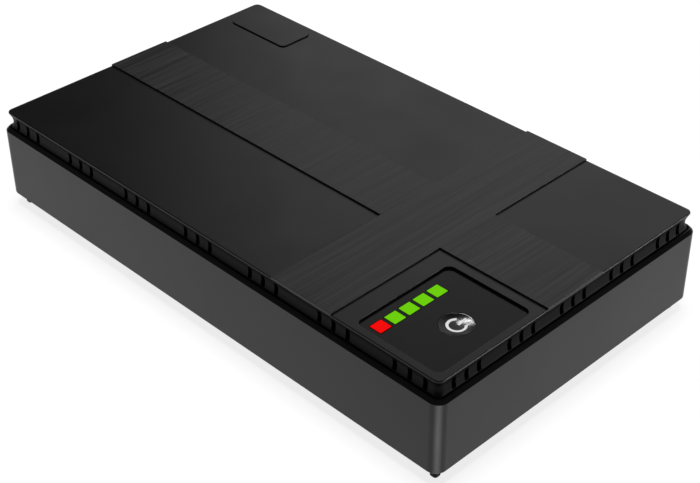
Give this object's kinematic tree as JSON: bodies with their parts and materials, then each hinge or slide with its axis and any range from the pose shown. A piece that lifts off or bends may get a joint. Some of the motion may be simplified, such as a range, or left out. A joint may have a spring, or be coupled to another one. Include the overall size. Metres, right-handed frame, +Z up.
{
  "type": "uninterruptible power supply",
  "caption": "Low flat DC power backup box on corner pegs, with a slotted neck, raised crossing bands, a sunk panel with indicator lights and a push button, and sockets in the back wall.",
  "frame": {"origin": "on the surface the box stands on, under the middle of the box", "axes": "+X along the length towards the end with the control panel, +Y towards the back wall with the sockets, +Z up out of the lid"},
  "size_m": [0.165, 0.0954, 0.0303],
  "materials": {
    "shell": "satin black moulded plastic, brushed on the raised bands",
    "panel": "smooth black",
    "button": "gloss black",
    "symbol": "printed white",
    "red_light": "lit red lens",
    "green_light": "lit green lens",
    "rubber": "matt black",
    "screw": "zinc plated",
    "socket_plastic": "black moulded",
    "socket_metal": "nickel plated",
    "contact": "gold plated",
    "white_plastic": "natural nylon",
    "cell_wrap": "shrink sleeve",
    "nickel": "satin",
    "holder": "matt black",
    "board": "green solder mask",
    "ferrite": "matt grey",
    "aluminium": "satin",
    "chip": "matt black",
    "red_wire": "satin sleeve",
    "black_wire": "satin sleeve",
    "ribbon": "satin",
    "foam": "open-cell foam"
  },
  "bodies": {
    "case": {"bottom_shell": "shell", "top_cover": "shell", "badge_plate": "shell", "control_overlay": "panel", "light_red": "red_light", "light_green_1": "green_light", "light_green_2": "green_light", "light_green_3": "green_light", "light_green_4": "green_light", "foot_front_left": "rubber", "foot_front_right": "rubber", "foot_back_right": "rubber", "foot_back_left": "rubber", "case_screw_front_left": "screw", "case_screw_front_right": "screw", "case_screw_back_right": "screw", "case_screw_back_left": "screw", "dc_inlet": "socket_plastic", "dc_outlet_1": "socket_plastic", "dc_outlet_2": "socket_plastic", "data_jack_1": "socket_plastic", "data_jack_2": "socket_plastic", "dc_inlet_pin": "socket_metal", "dc_outlet_1_pin": "socket_metal", "dc_outlet_2_pin": "socket_metal", "usb_shell": "socket_metal", "data_jack_1_contacts": "contact", "data_jack_2_contacts": "contact", "usb_tongue": "white_plastic", "battery_plug": "white_plastic", "battery_header": "white_plastic", "cable_socket": "white_plastic", "cell_1": "cell_wrap", "cell_2": "cell_wrap", "cell_3": "cell_wrap", "cell_4": "cell_wrap", "strip_series": "nickel", "strip_positive": "nickel", "strip_negative": "nickel", "cell_holder": "holder", "main_board": "board", "control_board": "board", "guard_board": "board", "boost_inductor": "ferrite", "buck_inductor": "ferrite", "transformer": "ferrite", "capacitor_1": "aluminium", "capacitor_2": "aluminium", "heatsink": "aluminium", "controller_chip": "chip", "switch_body": "chip", "lead_positive": "red_wire", "lead_negative": "black_wire", "flat_cable": "ribbon", "foam_pad": "foam"},
    "power_key": {"power_button": "button", "power_symbol_ring": "symbol", "power_symbol_stroke": "symbol", "switch_plunger": "button"}
  },
  "joints": [
    {"name": "power_button_press", "type": "slide", "parent": "case", "child": "power_key", "axis": [0, 0, -1], "range_m": [0, 0.0005], "stiffness_N_per_m": 600, "springref_m": -0.0005}
  ]
}
